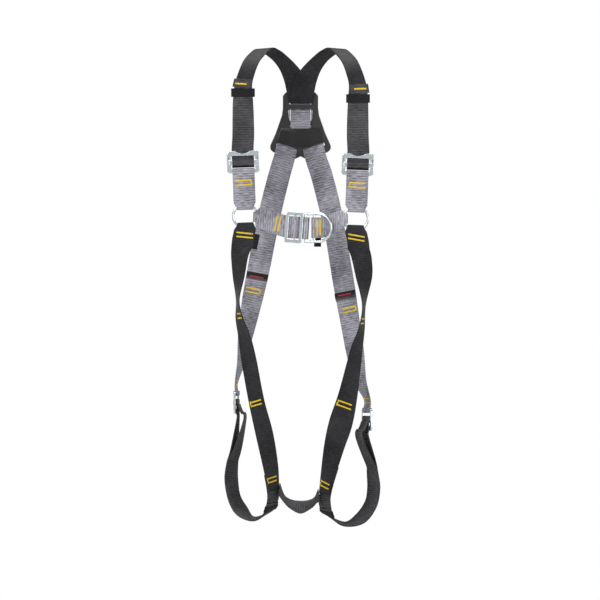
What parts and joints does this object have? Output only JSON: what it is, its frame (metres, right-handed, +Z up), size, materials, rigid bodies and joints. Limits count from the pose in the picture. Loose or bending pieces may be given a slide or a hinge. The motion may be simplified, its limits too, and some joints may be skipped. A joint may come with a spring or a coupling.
{
  "type": "safety harness",
  "caption": "Full body safety harness of black and grey webbing with a dorsal D-ring plate, chest D-ring, slide bar buckles and leg loops.",
  "frame": {"origin": "middle of the dorsal D-ring's eye with the ring hanging at rest", "axes": "+X to the picture's right as seen from the wearer's front, +Y from front to back, +Z up"},
  "size_m": [0.3126, 0.1867, 0.96],
  "materials": {
    "black_webbing": "close woven webbing, slight sheen",
    "dark_webbing": "ribbed charcoal webbing",
    "grey_webbing": "streaky light grey webbing",
    "trim_webbing": "black elastic and sewn trim",
    "black_plastic": "matte moulded plastic",
    "zinc_steel": "bright zinc plated steel",
    "zinc_bar": "zinc plated slide bar"
  },
  "bodies": {
    "harness": {"dorsal_plate": "black_plastic", "dorsal_loop": "grey_webbing", "left_shoulder_strap": "black_webbing", "right_shoulder_strap": "black_webbing", "left_shoulder_tail": "dark_webbing", "right_shoulder_tail": "dark_webbing", "left_shoulder_buckle": "zinc_steel", "right_shoulder_buckle": "zinc_steel", "left_front_loop": "grey_webbing", "right_front_loop": "grey_webbing", "left_chest_strap": "grey_webbing", "right_chest_strap": "grey_webbing", "chest_adjuster": "zinc_steel", "chest_link": "grey_webbing", "chest_tail": "trim_webbing", "left_back_strap": "grey_webbing", "right_back_strap": "grey_webbing", "left_fall_indicator": "trim_webbing", "right_fall_indicator": "trim_webbing", "label_tab": "trim_webbing", "left_thigh_strap": "black_webbing", "right_thigh_strap": "black_webbing", "left_leg_loop": "dark_webbing", "right_leg_loop": "dark_webbing", "left_leg_tail": "dark_webbing", "right_leg_tail": "dark_webbing", "left_leg_keeper": "trim_webbing", "right_leg_keeper": "trim_webbing", "left_leg_buckle": "zinc_steel", "right_leg_buckle": "zinc_steel", "seat_strap": "dark_webbing"},
    "dorsal_ring": {"dorsal_d_ring": "zinc_steel"},
    "chest_ring": {"chest_d_ring": "zinc_steel"},
    "left_ring": {"left_side_ring": "zinc_steel"},
    "right_ring": {"right_side_ring": "zinc_steel"},
    "left_slide": {"left_shoulder_bar": "zinc_bar"},
    "right_slide": {"right_shoulder_bar": "zinc_bar"},
    "left_leg_slide": {"left_leg_bar": "zinc_bar"},
    "right_leg_slide": {"right_leg_bar": "zinc_bar"},
    "left_keeper": {"left_tail_keeper": "trim_webbing"},
    "right_keeper": {"right_tail_keeper": "trim_webbing"}
  },
  "joints": [
    {"name": "dorsal_ring_swing", "type": "hinge", "parent": "harness", "child": "dorsal_ring", "pos_m": [0, 0, 0.0285], "axis": [1, 0, 0], "range_deg": [0, 120]},
    {"name": "chest_ring_swing", "type": "hinge", "parent": "harness", "child": "chest_ring", "pos_m": [0.027, -0.165, -0.2155], "axis": [0, 0, -1], "range_deg": [0, 8]},
    {"name": "left_ring_turn", "type": "hinge", "parent": "harness", "child": "left_ring", "pos_m": [-0.1102, -0.165, -0.1925], "axis": [0, 1, 0], "continuous": true},
    {"name": "right_ring_turn", "type": "hinge", "parent": "harness", "child": "right_ring", "pos_m": [0.1102, -0.165, -0.1975], "axis": [0, 1, 0], "continuous": true},
    {"name": "left_bar_slide", "type": "slide", "parent": "harness", "child": "left_slide", "axis": [-0.0384, 0, 0.9993], "range_m": [0, 0.002]},
    {"name": "right_bar_slide", "type": "slide", "parent": "harness", "child": "right_slide", "axis": [0.0384, 0, 0.9993], "range_m": [0, 0.002]},
    {"name": "left_leg_bar_slide", "type": "slide", "parent": "harness", "child": "left_leg_slide", "axis": [0, 0, 1], "range_m": [0, 0.002]},
    {"name": "right_leg_bar_slide", "type": "slide", "parent": "harness", "child": "right_leg_slide", "axis": [0, 0, 1], "range_m": [0, 0.002]},
    {"name": "left_keeper_slide", "type": "slide", "parent": "harness", "child": "left_keeper", "axis": [0, 0, -1], "range_m": [0, 0.06]},
    {"name": "right_keeper_slide", "type": "slide", "parent": "harness", "child": "right_keeper", "axis": [0, 0, -1], "range_m": [0, 0.06]}
  ]
}
